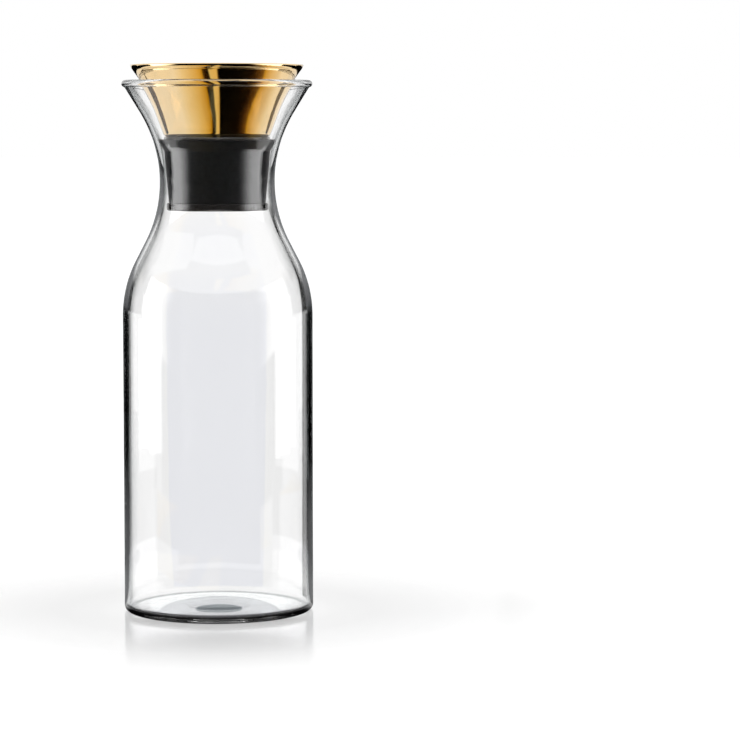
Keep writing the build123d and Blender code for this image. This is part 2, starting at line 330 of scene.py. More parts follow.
# %% Turned steel
steel, tree, output = material("stainless_steel_turned")
rings = pattern(tree, 0.2, stretch=(40.0, 40.0, 1.0))
grooves = add(tree, "ShaderNodeBump", {"Height": rings}, Distance=0.003 * MM)
skin = add(
    tree,
    "ShaderNodeBsdfPrincipled",
    {
        "Base Color": between(tree, rings, "#bdbcba", "#d2d1cf"),
        "Roughness": between(tree, rings, 0.2, 0.34),
        "Normal": grooves.outputs["Normal"],
    },
    Metallic=1.0,
)
tree.links.new(skin.outputs["BSDF"], output.inputs["Surface"])
print("materials", [made.name for made in (glass, gold, plastic, silicone, steel)])


# %% A finished piece
def finish(piece, skin, body, slot, *nodes):
    """Gives a piece its material, its body and the CAD nodes it stands for. The slot is not used.
    """
    piece.data.materials.clear()
    piece.data.materials.append(skin)
    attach(piece, body)
    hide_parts(*nodes)
    corners = np.array([list(corner) for corner in piece.bound_box])
    reach = corners.max(0) - np.array(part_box(nodes[0])[1])
    print(piece.name, "passes its node by", np.round(reach / MM, 2), "mm")
    return piece


# %% [markdown]
# ## The glass
# A tube of glass is blown into a mould, and its mouth is flared and melted to a round
# bead. The wall is one thickness all the way, so the inner and the outer side are arcs
# about the same centres. Both are needed: light bends once at each of them.

# %% Sizes of the glass
BODY, WALL, FOOT, INNER_FOOT = 47.5, 2.1, 3.0, 2.5
FLOOR, PUNT, PUNT_RADIUS, MARK, MARK_DEPTH = 2.2, 0.6, 36.0, 15.9, 0.3
MARK_EDGE, MARK_CLEAR = 0.3, 0.5
THROAT, LIP_HEIGHT, LIP_ROUND, LIP_NECK, THROAT_DROP = 28.7, 264.0, 1.7, 1.2, 48.5
THROAT_HEIGHT = LIP_HEIGHT - THROAT_DROP
SHOULDER_ROUND, SHOULDER_SLOPE = 60.0, 27.2
LOWER_SWEEP, UPPER_SWEEP, FLARE_SLOPE = 65.3, 66.5, 31.6

slope, flare = math.radians(SHOULDER_SLOPE), math.radians(FLARE_SLOPE)
shoulder_end = BODY - SHOULDER_ROUND * (1 - math.cos(slope))
sweep_end = THROAT + LOWER_SWEEP * (1 - math.cos(slope))
shoulder_height = (
    THROAT_HEIGHT
    - (LOWER_SWEEP + SHOULDER_ROUND) * math.sin(slope)
    - (shoulder_end - sweep_end) / math.tan(slope)
)
middle_sweep = UPPER_SWEEP + WALL / 2
flare_run = (LIP_HEIGHT - THROAT_HEIGHT - middle_sweep * math.sin(flare)) / math.cos(flare)
lip_radius = (
    THROAT + UPPER_SWEEP - middle_sweep * math.cos(flare) + flare_run * math.sin(flare)
)
print("shoulder starts at", round(shoulder_height, 2), "mm, lip radius", round(lip_radius, 2))


# %% The glass profile
def glass_side(inset):
    """One side of the glass from the straight body to the flare, inset from the outside.

    Three arcs: the shoulder bulges out, the lower sweep and the upper sweep pinch in
    to the throat. Straight lines join them.
    """
    shoulder = arc(
        (BODY - SHOULDER_ROUND, shoulder_height), SHOULDER_ROUND - inset, 0, SHOULDER_SLOPE, 32
    )
    lower = arc(
        (THROAT + LOWER_SWEEP, THROAT_HEIGHT), LOWER_SWEEP + inset, 180 + SHOULDER_SLOPE, 180, 32
    )
    upper = arc(
        (THROAT + UPPER_SWEEP, THROAT_HEIGHT), UPPER_SWEEP + inset, 180, 180 - FLARE_SLOPE, 36
    )
    return np.vstack((shoulder, lower, upper[1:]))


def dome(top, drop, radius, count=16):
    """A shallow dome from its middle outwards, which falls by the drop at the radius."""
    ball = (radius**2 + drop**2) / (2 * drop)
    reach = np.linspace(0, radius, count)
    return np.column_stack((reach, top - ball + np.sqrt(ball**2 - reach**2)))


half_wall = WALL / 2
bend_out = half_wall + LIP_NECK
bend_back = math.sqrt((LIP_ROUND + LIP_NECK) ** 2 - bend_out**2)
bend_turn = math.degrees(math.atan2(bend_out, -bend_back))
neck_arc = arc((-bend_back, bend_out), LIP_NECK, -90, bend_turn - 180, 7)
bead_arc = arc((0, 0), LIP_ROUND, bend_turn, -bend_turn, 33)
lip = np.vstack((neck_arc, bead_arc[1:-1], neck_arc[::-1] * (1, -1)))
along = np.array((math.sin(flare), math.cos(flare)))
across = np.array((math.cos(flare), -math.sin(flare)))
lip = np.array((lip_radius, LIP_HEIGHT)) + lip[:, :1] * along + lip[:, 1:] * across

under = dome(PUNT, PUNT, PUNT_RADIUS)
mark_edge = np.interp(MARK, under[:, 0], under[:, 1])
corner = BODY - WALL - INNER_FOOT
glass_profile = np.vstack(
    (
        [(0, PUNT + MARK_DEPTH), (MARK - MARK_EDGE, PUNT + MARK_DEPTH), (MARK, mark_edge)],
        under[under[:, 0] > MARK + MARK_CLEAR],
        arc((BODY - FOOT, FOOT), FOOT, -90, 0, 16),
        glass_side(0.0),
        lip,
        glass_side(WALL)[::-1],
        arc((corner, FLOOR + INNER_FOOT), INNER_FOOT, 0, -90, 16),
        dome(FLOOR + PUNT, PUNT, corner)[::-1],
    )
)
bottle = lathe("glass_bottle", glass_profile, segments=320, sharp=40)
finish(bottle, glass, "vessel", "clear_glass", "glass_vessel")

# %% [markdown]
# ## The funnel
# The funnel is one thin sheet spun to shape. Its floor is clamped on the tube's collar,
# and its side flares more and more towards the rim, where the last two millimetres turn
# up again to stiffen the edge. That turned edge bends the reflections into a zigzag.

# %% The funnel profile
SHEET, FUNNEL_FOOT, FUNNEL_BORE, FUNNEL_CORNER, CORE_TOP = 0.7, 26.25, 20.0, 2.4, 238.0
FOOT_SLOPE, RIM_SLOPE, RIM_TURN, TURN_HEIGHT, FLARE_POWER = 20.3, 41.0, 18.0, 2.4, 2.4

last_slope = math.radians(RIM_TURN)
rim_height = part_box("pouring_funnel")[1].z / MM - SHEET / 2 * (1 + math.sin(last_slope))
corner_radius = FUNNEL_FOOT - FUNNEL_CORNER * math.tan(math.radians((90 - FOOT_SLOPE) / 2))
bend = arc((corner_radius, CORE_TOP + FUNNEL_CORNER), FUNNEL_CORNER, -90, -FOOT_SLOPE, 10)
side_height = np.linspace(bend[-1, 1], rim_height, 120)
climb = (side_height - side_height[0]) / (side_height[-1] - side_height[0])
turned = np.clip((side_height - rim_height + TURN_HEIGHT) / TURN_HEIGHT, 0, 1)
turned = turned**2 * (3 - 2 * turned)
side_lean = FOOT_SLOPE + (RIM_SLOPE - FOOT_SLOPE) * climb**FLARE_POWER
side_lean = np.radians(side_lean - (RIM_SLOPE - RIM_TURN) * turned)
steps = np.diff(side_height) * np.tan((side_lean[1:] + side_lean[:-1]) / 2)
side_radius = bend[-1, 0] + np.concatenate(([0], np.cumsum(steps)))
side = np.column_stack((side_radius, side_height))
outer = np.vstack(([(FUNNEL_BORE, CORE_TOP)], bend[:-1], side))
rise = np.concatenate(
    ([0.0], np.radians(np.linspace(0, 90 - FOOT_SLOPE, 10))[:-1], np.pi / 2 - side_lean)
)
inner = outer + SHEET * np.column_stack((-np.sin(rise), np.cos(rise)))
edge_angle = math.degrees(rise[-1])
rim = arc((outer[-1] + inner[-1]) / 2, SHEET / 2, edge_angle - 90, edge_angle + 90, 9)
print("funnel rim radius and height", np.round(rim.max(0), 2))
funnel = lathe("gold_funnel", np.vstack((outer, rim[1:-1], inner[::-1])), True, sharp=45)
finish(funnel, gold, "stopper", "gold_metal", "pouring_funnel")

# %% [markdown]
# ## The tube, the sleeve and the ring
# The stopper's tube is moulded with a collar. The silicone sleeve hangs under the collar
# and ends in a thin lip, which bends against the glass and seals it. The ring snaps on
# below and keeps the sleeve in place. Their edges are rounded as a mould rounds them.

# %% Sizes of the stopper
BORE, TUBE, COLLAR, COLLAR_TAPER = 19.0, 22.4, 26.7, 0.5
SEAL_DROP, SLEEVE_TOP, SLEEVE_BOTTOM, LIP_DROP, TIP, SLEEVE_GAP = 27.65, 26.35, 24.1, 5.55, 0.5, 0.1
SEAL_HEIGHT = LIP_HEIGHT - SEAL_DROP
RING, RING_WEB, WEB_BORE, WEB_GAP = 25.25, 0.8, 19.5, 0.05
CORE_ROUNDS = (0.2, 0.2, 0.01, 0.3, 0.35, 0.2)
SLEEVE_ROUNDS = (0.1, 0.5, 0.8, 0.15, 0.15, 0.1)
RING_ROUNDS = (0.2, 1.0, 0.3, 0.1, 0.05, 0.2)

# %% Tube with its collar
low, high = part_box("stopper_core")
bottom, top = low.z / MM, high.z / MM
corners = [
    (BORE, bottom),
    (TUBE, bottom),
    (TUBE, SEAL_HEIGHT),
    (COLLAR, SEAL_HEIGHT),
    (COLLAR - COLLAR_TAPER, top),
    (BORE, top),
]
core = lathe("collar_tube", rounded(corners, CORE_ROUNDS), True)
finish(core, plastic, "stopper", "black_plastic", "stopper_core")

# %% Sleeve with its sealing lip
low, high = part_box("seal_sleeve")
bottom, tip_radius = low.z / MM, high.x / MM
corners = [
    (TUBE + SLEEVE_GAP, bottom),
    (SLEEVE_BOTTOM, bottom),
    (SLEEVE_TOP, SEAL_HEIGHT - LIP_DROP),
    (tip_radius, SEAL_HEIGHT - TIP),
    (tip_radius, SEAL_HEIGHT),
    (TUBE + SLEEVE_GAP, SEAL_HEIGHT),
]
sleeve = lathe("silicone_sleeve", rounded(corners, SLEEVE_ROUNDS), True)
finish(sleeve, silicone, "stopper", "charcoal_silicone", "seal_sleeve")

# %% Ring under the sleeve
low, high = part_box("base_ring")
bottom, top = low.z / MM, high.z / MM
corners = [
    (WEB_BORE, bottom),
    (RING, bottom),
    (RING, top),
    (TUBE + WEB_GAP, top),
    (TUBE + WEB_GAP, bottom + RING_WEB),
    (WEB_BORE, bottom + RING_WEB),
]
ring = lathe("sleeve_ring", rounded(corners, RING_ROUNDS), True)
finish(ring, plastic, "stopper", "black_plastic", "base_ring")

# %% [markdown]
# ## Pieces that keep their CAD shape
# The clamp ring, the flap and its weight are small machined or moulded shapes whose CAD
# form is already right. They only get their material.

# %% Materials on the CAD pieces
kept = {
    "clamp_ring": plastic,
    "flap_plate": plastic,
    "funnel_gasket": silicone,
    "flap_gasket": silicone,
    "flap_cover": gold,
    "counterweight": steel,
    "counterweight_screw": steel,
    "hinge_pin": steel,
}
for node_name, skin in kept.items():
    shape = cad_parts[node_name].data
    shape.materials.clear()
    shape.materials.append(skin)
print("kept CAD shapes", sorted(kept))

# %% [markdown]
# ## The camera
# The photograph was taken from a little above the stopper with a long lens. The camera
# stands 1.45 m away, level with the funnel, and looks down by about five degrees. It is
# made before the studio, because the studio is set out by what the camera sees.

# %% Camera
scene = bpy.context.scene
IMAGE_SIDE, FOCAL_PIXELS, SENSOR, TILT = 740.0, 2890.0, 36.0, 4.84
EYE = np.array((76.2, -1445.0, 243.4))
NEAREST, FARTHEST = 50.0, 50000.0

camera_data = bpy.data.cameras.new("camera")
camera_data.sensor_width = SENSOR
camera_data.lens = FOCAL_PIXELS / IMAGE_SIDE * SENSOR
camera_data.clip_start, camera_data.clip_end = NEAREST * MM, FARTHEST * MM
camera = bpy.data.objects.new("camera", camera_data)
camera.location = EYE * MM
camera.rotation_euler = (math.radians(90 - TILT), 0, 0)
scene.collection.objects.link(camera)
scene.camera = camera
print("lens", round(camera_data.lens, 1), "mm")

# %% [markdown]
# ## The studio
# Glass and metal only show what stands round them, so the studio does half of the work.
# The background is white for the camera, for reflections and through the glass. For
# everything else it is a plain soft fill light, so that matt pieces are lit evenly. Light
# Path tells these kinds of ray apart.

# %% The white surroundings
scene.view_settings.view_transform = "Standard"
world = bpy.data.worlds.new("white_studio")
scene.world = world
world.use_nodes = True
tree = world.node_tree
tree.nodes.clear()
FILL_LIGHT = 0.55

path = add(tree, "ShaderNodeLightPath").outputs
bounced = {0: path["Is Glossy Ray"], 1: path["Is Transmission Ray"]}
bounced = add(tree, "ShaderNodeMath", bounced, operation="MAXIMUM").outputs[0]
seen = {0: path["Is Camera Ray"], 1: bounced}
seen = add(tree, "ShaderNodeMath", seen, operation="MAXIMUM").outputs[0]
fill = add(tree, "ShaderNodeBackground", Strength=FILL_LIGHT, Color=linear(WHITE)).outputs[0]
plain = add(tree, "ShaderNodeBackground", Strength=1.0, Color=linear(WHITE)).outputs[0]
choice = add(tree, "ShaderNodeMixShader", {0: seen, 1: fill, 2: plain})
add(tree, "ShaderNodeOutputWorld", {"Surface": choice.outputs[0]})
print("white background, fill light", FILL_LIGHT)

# %% [markdown]
# ### Sheets that stand in the studio
# Everything in the studio is a flat or bent sheet, drawn as rows of points. Places are
# given by their azimuth, the direction over the floor as seen from the carafe's axis. It
# is 0 towards the front and 90 to the right.


# %% Tools for sheets
def spread(first, last, count=16):
    """Azimuths from the first to the last at even steps."""
    return np.linspace(first, last, count)


def pair(name, left, right, count=16):
    """The names of a left and a right sheet, and the azimuths that each spans."""
    return (name + "_left", spread(*left, count)), (name + "_right", spread(*right, count))


def directions(azimuths):
    """Directions over the floor: the sine and minus the cosine of each azimuth."""
    turn = np.radians(azimuths)
    return np.column_stack((np.sin(turn), -np.cos(turn)))


def row(places, level):
    """A row of points: places over the floor, at one level or each at its own."""
    return np.column_stack((places, np.zeros(len(places)) + level))


def upright(radius, azimuths, levels):
    """Rows of a sheet that stands round the axis, one row for each level."""
    return [row(radius * directions(azimuths), level) for level in levels]


def lying(radii, azimuths, level):
    """Rows of a sheet that lies round the axis, one row for each radius."""
    return [row(radius * directions(azimuths), level) for radius in radii]


def panel(name, rows, skin, lights=False):
    """A sheet from rows of points in millimetres.

    Rows that go out from the axis, or up, with points that go anticlockwise seen from
    above, give a sheet that faces up, or towards the axis. Only a sheet that lights the
    object is seen by matt surfaces and throws a shadow.
    """
    rows = np.asarray(rows, float)
    count, width = rows.shape[:2]
    index = np.arange(count * width).reshape(count, width)
    faces = np.stack((index[:-1, :-1], index[1:, :-1], index[1:, 1:], index[:-1, 1:]), -1)
    mesh = bpy.data.meshes.new(name)
    mesh.from_pydata((rows.reshape(-1, 3) * MM).tolist(), [], faces.reshape(-1, 4).tolist())
    mesh.materials.append(skin)
    item = bpy.data.objects.new(name, mesh)
    scene.collection.objects.link(item)
    item.visible_camera = False
    item.visible_shadow = item.visible_diffuse = lights
    print(name, "has", len(mesh.polygons), "faces")
    return item


# %% [markdown]
# ### The floor
# The floor is polished white acrylic: matt white under a clear gloss. Reflections and rays
# through glass see it plain white, with a painted shade under the front of the foot, where
# no light gets in: a dark blue-grey disc in the middle, a white ring, and a dark band round
# the foot's edge. It lies 0.03 mm up, so that the foot is wetted to it as on a real
# polished top.
# For the camera a little light is added to the white, so that the floor fades into the
# white background and the object's shadow stays. It is least beside the foot, which
# paints a soft shade round it.

# %% Tones by distance
FLOOR_GLOSS, FLOOR_IOR, FLOOR_LEVEL, FLOOR_REACH = 0.12, 1.45, 0.03, 20000.0
POLISH_NEAR, POLISH_FAR = 60.0, 190.0
SHADE_FRONT, SHADE_BACK = -12.0, 16.0
# Least light is added close round the foot, which is a painted shade there.
LIFT_WITH_PAINTED_SHADE = [(46, 0.48), (60, 0.37), (78, 0.32), (130, 0.42), (230, 0.52), (900, 0.66)]
# Painted shade under the front of the foot, as glass and metal see the floor.
UNDER_FOOT_PAINTED_SHADE = [
    (0, "#343a40"),
    (15.6, "#343a40"),
    (16.2, WHITE),
    (33, "#f4f4f6"),
    (37, "#77777b"),
    (41, "#1e1d1e"),
    (56, "#1e1d1e"),
    (62, "#a6a6a8"),
    (68, "#e2e2e4"),
    (80, "#fbfbfb"),
]


def by_distance(tree, socket, stops):
    """A ramp of tones or levels over distances in millimetres, as a colour."""
    far = stops[-1][0]
    place = add(tree, "ShaderNodeMapRange", {"Value": socket}, From_Min=0.0, From_Max=far * MM)
    ramp = add(tree, "ShaderNodeValToRGB", {"Fac": place.outputs["Result"]})
    marks = ramp.color_ramp.elements
    for number, (distance, tone) in enumerate(stops):
        mark = marks.new(distance / far) if number > 1 else marks[number]
        mark.position = distance / far
        mark.color = linear(tone) if isinstance(tone, str) else (tone, tone, tone, 1.0)
    return ramp.outputs["Color"]


# %% The floor as the camera sees it
acrylic, tree, output = material("floor_white_acrylic")
path = add(tree, "ShaderNodeLightPath").outputs
place = add(tree, "ShaderNodeTexCoord").outputs["Object"]
reach = add(tree, "ShaderNodeVectorMath", {0: place}, operation="LENGTH").outputs["Value"]
matt = add(tree, "ShaderNodeBsdfDiffuse", Color=linear("#e8e8e8"))
none = add(tree, "ShaderNodeEmission", Strength=0.0).outputs[0]
glow = {"Color": by_distance(tree, reach, LIFT_WITH_PAINTED_SHADE)}
glow = add(tree, "ShaderNodeEmission", glow, Strength=1.0).outputs[0]
lift = add(tree, "ShaderNodeMixShader", {0: path["Is Camera Ray"], 1: none, 2: glow})
lit = add(tree, "ShaderNodeAddShader", {0: matt.outputs[0], 1: lift.outputs[0]})
gloss = add(tree, "ShaderNodeBsdfGlossy", Color=linear(WHITE), Roughness=FLOOR_GLOSS)
polish = add(
    tree,
    "ShaderNodeMapRange",
    {"Value": reach},
    interpolation_type="SMOOTHSTEP",
    From_Min=POLISH_NEAR * MM,
    From_Max=POLISH_FAR * MM,
    To_Min=1.0,
    To_Max=0.0,
)
sheen = add(tree, "ShaderNodeFresnel", IOR=FLOOR_IOR)
mirror = {0: sheen.outputs[0], 1: polish.outputs["Result"]}
mirror = add(tree, "ShaderNodeMath", mirror, operation="MULTIPLY")
polished = {0: mirror.outputs[0], 1: lit.outputs[0], 2: gloss.outputs[0]}
polished = add(tree, "ShaderNodeMixShader", polished)

# %% The floor as glass and metal see it
depth = add(tree, "ShaderNodeSeparateXYZ", {"Vector": place})
behind = add(
    tree,
    "ShaderNodeMapRange",
    {"Value": depth.outputs["Y"]},
    From_Min=SHADE_FRONT * MM,
    From_Max=SHADE_BACK * MM,
)
# The painted shade under the foot fades to plain white towards the back.
tone = add(
    tree,
    "ShaderNodeMix",
    {"Factor": behind.outputs["Result"], 6: by_distance(tree, reach, UNDER_FOOT_PAINTED_SHADE)},
    data_type="RGBA",
    _7=linear(WHITE),
)
plain = add(tree, "ShaderNodeEmission", {"Color": tone.outputs[2]}, Strength=1.0)
bounced = {0: path["Is Glossy Ray"], 1: path["Is Transmission Ray"]}
bounced = add(tree, "ShaderNodeMath", bounced, operation="MAXIMUM")
choice = {0: bounced.outputs[0], 1: polished.outputs[0], 2: plain.outputs[0]}
choice = add(tree, "ShaderNodeMixShader", choice)
tree.links.new(choice.outputs[0], output.inputs["Surface"])
edge = np.array([(-FLOOR_REACH, FLOOR_REACH), (FLOOR_REACH, FLOOR_REACH)])
rows = [row(edge, FLOOR_LEVEL), row(edge * (1, -1), FLOOR_LEVEL)]
floor = panel("floor", rows, acrylic, lights=True)
floor.visible_camera = True

# %% [markdown]
# ### The soft boxes
# A long soft box stands on either side. They light the matt and satin pieces and throw the
# soft shadow. Metal and glass don't see them: their highlights come from the shining cards
# further down, whose edges can be set without changing the light.

# %% Soft boxes
BOX_RADIUS, BOX_LEVELS, BOX_STRENGTH = 690.0, (5, 450), 3.1
cloth, tree, output = material("soft_box_cloth")
light = add(tree, "ShaderNodeEmission", Color=linear(WHITE), Strength=BOX_STRENGTH)
tree.links.new(light.outputs[0], output.inputs["Surface"])
for name, azimuths in pair("soft_box", (-106, -61), (60, 108)):
    lamp = panel(name, upright(BOX_RADIUS, azimuths, BOX_LEVELS), cloth, lights=True)
    lamp.visible_glossy = lamp.visible_transmission = False

# %% [markdown]
# ### The cards
# A photographer sets black and white cards round glass and metal to draw their edges. The
# cards here do that too, but each is clear to all rays but some, so that the cards for the
# glass don't stand in the way of those for the metal. Light Path tells how often a ray was
# reflected, its glossy depth, and how many glass surfaces it has passed, its transmission
# depth. A reflection on the outside of the glass has passed none, and one on the metal
# inside four, two each way. A ray that leaves the back of the carafe has passed four as
# well, but wasn't reflected. Only the front of a card is seen, or the floor's own
# reflections would meet the cards that lie on it.

# %% How a card is made
MANY = 99
ANY, REFLECTED, BENT = (0, MANY), (1, MANY), (0, 0)
OUTSIDE, IN_THE_WALL, IN_THE_HEEL = (0, 2), (1, 2), (2, 3)
INSIDE, THROUGH_WALL, BEYOND = (2, MANY), (3, MANY), (4, MANY)


def card(name, reflected=ANY, passed=ANY, colour=BLACK, toned=False, strength=1.0):
    """A card for rays reflected so often and that have passed so many glass surfaces.

    It has one colour, or with toned the tones that its sheet's points carry.
    """
    skin, tree, output = material(name)
    path = add(tree, "ShaderNodeLightPath").outputs
    side = add(tree, "ShaderNodeNewGeometry").outputs
    tests = [
        (path["Glossy Depth"], "GREATER_THAN", reflected[0] - 0.5),
        (path["Glossy Depth"], "LESS_THAN", reflected[1] + 0.5),
        (path["Transmission Depth"], "GREATER_THAN", passed[0] - 0.5),
        (path["Transmission Depth"], "LESS_THAN", passed[1] + 0.5),
        (side["Backfacing"], "LESS_THAN", 0.5),
    ]
    chosen = None
    for socket, operation, limit in tests:
        test = add(tree, "ShaderNodeMath", {0: socket}, operation=operation, _1=limit).outputs[0]
        if chosen:
            both = {0: chosen, 1: test}
            test = add(tree, "ShaderNodeMath", both, operation="MULTIPLY").outputs[0]
        chosen = test
    clear = add(tree, "ShaderNodeBsdfTransparent").outputs[0]
    face = add(tree, "ShaderNodeEmission", Color=linear(colour), Strength=strength)
    if toned:
        tones = add(tree, "ShaderNodeAttribute", attribute_name="tone")
        tree.links.new(tones.outputs["Color"], face.inputs["Color"])
    choice = add(tree, "ShaderNodeMixShader", {0: chosen, 1: clear, 2: face.outputs[0]})
    tree.links.new(choice.outputs[0], output.inputs["Surface"])
    return skin


def shaded(name, rows, tones, skin):
    """A card drawn as rows of points, with a row of tones for each row of points."""
    item = panel(name, rows, skin)
    layer = item.data.color_attributes.new("tone", "FLOAT_COLOR", "POINT")
    colours = np.array([[linear(tone) for tone in line] for line in tones])
    layer.data.foreach_set("color", colours.ravel())
    return item


def by_row(name, rows, tones, skin):
    """A card with one tone for each row of points."""
    return shaded(name, rows, [[tone] * len(rows[0]) for tone in tones], skin)


def by_column(name, radius, columns, levels, skin):
    """An upright card round the axis, drawn as azimuths with a tone each."""
    azimuths, tones = zip(*columns)
    return shaded(name, upright(radius, azimuths, levels), [tones] * len(levels), skin)


# %% Faces that many cards share
black = card("card_black", REFLECTED)
black_outside = card("card_black_outside", REFLECTED, OUTSIDE)
black_inside = card("card_black_inside", REFLECTED, INSIDE)
white_outside = card("card_white_outside", REFLECTED, OUTSIDE, WHITE)
toned = card("card_toned", REFLECTED, toned=True)

# %% [markdown]
# ### Cards behind: the dark edges of the glass
# Near its edges, light enters the wall so flat that it bounces inside and leaves far off
# to the back. Two dark cards fan out over the floor there. They are lighter near the
# carafe, as the edges in the photograph are lighter towards the foot, and end in a back
# that stands up.

# %% Fans on the floor
FAN_LEVEL, FAN_REACH = 1.0, 3000.0
FAN_TONES = [
    (4, "#8a8a8b"),
    (60, "#818182"),
    (165, "#646465"),
    (290, "#5c5c5d"),
    (430, "#464647"),
    (650, "#101010"),
    (800, BLACK),
    (FAN_REACH, "#161617"),
]
FAN_BACK = [(150, "#6e6e70"), (600, "#9a9a9c")]


def fan(name, start, azimuths):
    """A card that fans out over the floor from a start beside the axis, then stands up."""
    way = directions(azimuths)
    places = [np.array((start, 0.0)) + far * way for far, _ in FAN_TONES]
    rows = [row(place, FAN_LEVEL) for place in places]
    rows += [row(places[-1], level) for level, _ in FAN_BACK]
    return by_row(name, rows, [tone for _, tone in FAN_TONES + FAN_BACK], toned)


fan("card_back_left", -46, spread(-168, -134))
fan("card_back_right", 46, spread(138.5, 175.5))

# %% [markdown]
# ### Cards beside: the thin dark outline
# Rays that only bend through the edge of the glass turn outwards by 8 to 45 degrees and
# leave just behind and beside the carafe. A small sheet on either side, square to the
# camera and a little behind the axis, catches them all. Its inner edge follows the
# outline of the glass, and its outer end is turned back, so that a camera at the side
# doesn't see it edge on.

# %% Sheets beside the outline
CAMERA_AZIMUTH, BESIDE_BACK, BESIDE_START, BESIDE_REACH, BESIDE_SLOPE = 3, 25.0, 49.0, 98.0, 0.26
beside = [  # level, distance from the axis, tone on the left, tone on the right
    (0, 47.5, "#8a8a8b", "#2c2c2c"),
    (18, 47.5, "#868687", "#282828"),
    (32, 47.5, "#767677", "#242424"),
    (47, 47.5, "#6c6c6d", "#202020"),
    (62, 47.5, "#565657", "#1c1c1c"),
    (81, 47.5, "#2a2a2a", "#181818"),
    (105, 47.5, BLACK, "#101010"),
    (150, 47.5, "#101011", "#101011"),
    (168, 45.8, "#181819", "#181819"),
    (185, 39.5, "#3a3a3b", "#3a3a3b"),
    (193.6, 34.2, "#4c4c4d", "#4c4c4d"),
    (202, 30.2, "#b0b0b0", "#b0b0b0"),
    (206, 29.4, WHITE, WHITE),
]
LEFT_GAP, RIGHT_GAP = 2.2, -1.1


def sheet_beside(name, side, gap, levels, distances, tones):
    """A sheet from the outline outwards, square to the camera but for its outer slope.

    A point is its way to the right plus its way back, which grows by the slope.
    """
    right_way, back_way = directions((CAMERA_AZIMUTH + 90, CAMERA_AZIMUTH + 180))
    rows = []
    for level, distance in zip(levels, distances):
        ends = np.sort((side * (distance + gap), side * BESIDE_REACH))[::-1, None]
        backs = BESIDE_BACK + BESIDE_SLOPE * (np.abs(ends) - BESIDE_START)
        rows.append(row(ends * right_way + backs * back_way, level))
    return by_row(name, rows, tones, bent)


bent = card("card_bent", BENT, INSIDE, toned=True)
levels, distances, left_tones, right_tones = zip(*beside)
sheet_beside("card_beside_left", -1, LEFT_GAP, levels, distances, left_tones)
sheet_beside("card_beside_right", 1, RIGHT_GAP, levels, distances, right_tones)

# %% [markdown]
# ### Cards at the sides: the gold's dark stripes
# The funnel's sides reflect what stands beside and behind the carafe. Far cards go from
# white to black and back to white, near ones are black, and the turned ones are seen only
# through the wall, where they give the gold a brown edge.

# %% Side cards
SIDE_RADIUS, NEAR_RADIUS, TURNED_RADIUS = 900, 298, 300
NEAR_LEVELS, TURNED_LEVELS = (146, 203), (70, 280)
side_steps = [(110, WHITE), (190, BLACK), (470, BLACK), (620, WHITE)]
levels, tones = zip(*side_steps)
for name, azimuths in pair("card_side", (-134, -98), (103, 140)):
    by_row(name, upright(SIDE_RADIUS, azimuths, levels), tones, toned)
for name, azimuths in pair("card_near", (-131, -95), (98, 134)):
    panel(name, upright(NEAR_RADIUS, azimuths, NEAR_LEVELS), black)

turned_left = [(-176, "#2c2418"), (-157, "#2c2418"), (-153, WHITE), (-131, WHITE)]
turned_right = [(134, WHITE), (159, WHITE), (163, "#2c2418"), (182, "#2c2418")]
through_wall = card("card_through_wall", REFLECTED, THROUGH_WALL, toned=True)
by_column("card_turned_left", TURNED_RADIUS, turned_left, TURNED_LEVELS, through_wall)
by_column("card_turned_right", TURNED_RADIUS, turned_right, TURNED_LEVELS, through_wall)

# %% [markdown]
# ### Cards at the mouth
# White shelves at the throat lighten the edges of the flare. Round the rim, white cards
# keep the shining cards off the gold edge, and black cards behind darken its two ends.
# Their lower edge runs up towards the back, so that the wall of the flare stays clear.

# %% Mouth cards
SHELF_RADII, SHELF_LEVEL = (90, 700), 165
RIM_RADIUS, RIM_LEVELS, RIM_BACK_RADIUS, RIM_BACK_TOP = 120, (264, 420), 121, 300
RIM_BACK_TURNS, RIM_BACK_EDGE = (139, 142, 157, 165, 172, 180), (205, 211, 233, 244.5, 254, 264)
shelf_face = card("card_shelf_face", REFLECTED, IN_THE_WALL, WHITE)
for name, azimuths in pair("card_shelf", (-170, -128), (128, 170)):
    panel(name, lying(SHELF_RADII, azimuths, SHELF_LEVEL), shelf_face)
for name, azimuths in pair("card_rim", (-150, -45), (45, 150)):
    panel(name, upright(RIM_RADIUS, azimuths, RIM_LEVELS), white_outside)
for name, azimuths in pair("card_rim_back", (-177, -145), (151, 183), 20):
    edge = np.interp(np.abs(azimuths - CAMERA_AZIMUTH), RIM_BACK_TURNS, RIM_BACK_EDGE)
    panel(name, upright(RIM_BACK_RADIUS, azimuths, (edge, RIM_BACK_TOP)), black_outside)

# %% [markdown]
# ### A card far behind: the panel in the body
# Straight through the middle of the body the photograph shows a panel that is a shade
# greyer than the white beside it. It is a strip on the floor that runs away to the back.

# %% The grey strip
STRIP_LEVEL = 1.8
strip_left = [(-28, 60), (-62, 400), (-157, 1400), (-214, 2000), (-591, 6000)]
strip_right = [(21, 60), (16, 400), (3, 1400), (-5, 2000), (-60, 6000)]
strip_tones = ["#f7f8fc"] * 4 + [WHITE]
rows = [row(pair, STRIP_LEVEL) for pair in zip(strip_right, strip_left)]
beyond = card("card_beyond", BENT, BEYOND, toned=True)
by_row("card_grey_floor", rows, strip_tones, beyond)

# %% [markdown]
# ### Cards at the foot
# The foot is a thick lens. It shows a bright disc with a ring round it, the round mark in
# its middle and a dark band above them, which is the far wall seen from inside. A card
# close behind the foot carries these forms, and each is half an ellipse: a height times
# the root of one minus the square of the share of its radius.

